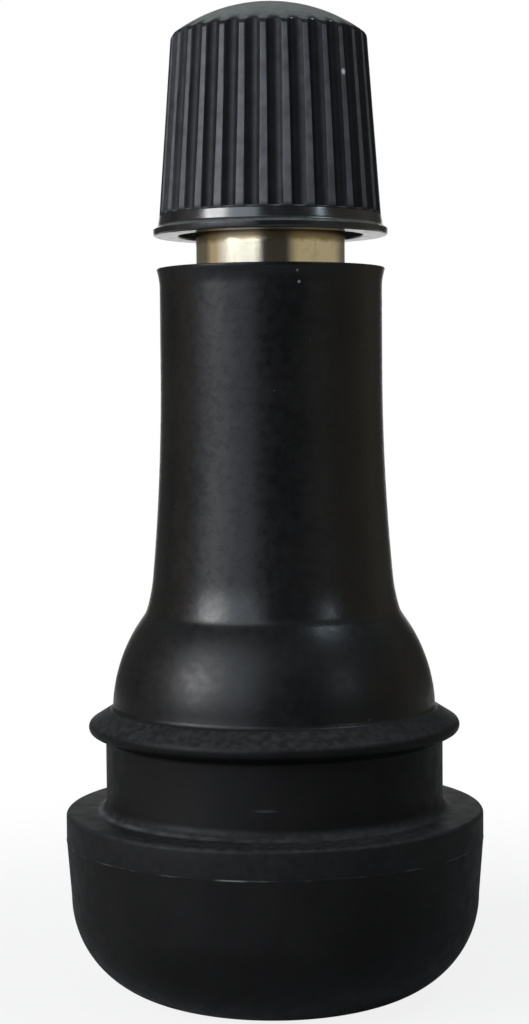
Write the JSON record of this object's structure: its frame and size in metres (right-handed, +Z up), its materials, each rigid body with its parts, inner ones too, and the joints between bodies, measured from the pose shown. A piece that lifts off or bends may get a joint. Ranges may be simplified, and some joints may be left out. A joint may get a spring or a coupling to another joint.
{
  "type": "tyre valve",
  "caption": "Snap-in rubber tyre valve on a brass stem, with a sprung valve core inside and a ribbed screw cap over the mouth.",
  "frame": {"origin": "centre of the flat foot, on the valve's axis", "axes": "+Z up the stem, from the foot towards the cap; -Y faces the picture's viewer"},
  "size_m": [0.0192, 0.0192, 0.045],
  "materials": {
    "body_rubber": "moulded, dull sheen",
    "stem_brass": "turned, bright",
    "core_brass": "turned, bright",
    "gasket_red": "moulded, dull",
    "spring_steel": "drawn wire",
    "seal_rubber": "moulded, dull",
    "cap_plastic": "moulded, satin"
  },
  "bodies": {
    "stem": {"rubber_body": "body_rubber", "brass_stem": "stem_brass"},
    "cap_seal": {"cap_seal": "seal_rubber"},
    "cap": {"valve_cap": "cap_plastic"},
    "core_barrel": {"core_barrel": "core_brass", "barrel_gasket": "gasket_red", "core_spring": "spring_steel"},
    "core_plug": {"core_plug": "core_brass"},
    "core_pin": {"core_pin": "core_brass", "core_cup": "core_brass", "cup_gasket": "seal_rubber"}
  },
  "joints": [
    {"name": "cap_lift", "type": "slide", "parent": "stem", "child": "cap_seal", "axis": [0, 0, 1], "range_m": [0, 0.00873]},
    {"name": "cap_turn", "type": "hinge", "parent": "cap_seal", "child": "cap", "pos_m": [0, 0, 0.0425], "axis": [0, 0, 1], "range_deg": [0, 3965]},
    {"name": "core_lift", "type": "slide", "parent": "stem", "child": "core_barrel", "axis": [0, 0, 1], "range_m": [0, 0.00141]},
    {"name": "core_turn", "type": "hinge", "parent": "core_barrel", "child": "core_plug", "pos_m": [0, 0, 0.038], "axis": [0, 0, 1], "range_deg": [0, 722]},
    {"name": "pin_press", "type": "slide", "parent": "core_barrel", "child": "core_pin", "axis": [0, 0, -1], "range_m": [0, 0.0015], "stiffness_N_per_m": 2000, "deforming": ["core_spring"]}
  ],
  "couplings": [
    {"joint": "cap_turn", "follows": "cap_lift", "rad_per_m": 7915.8},
    {"joint": "core_turn", "follows": "core_lift", "rad_per_m": 8905.3}
  ]
}
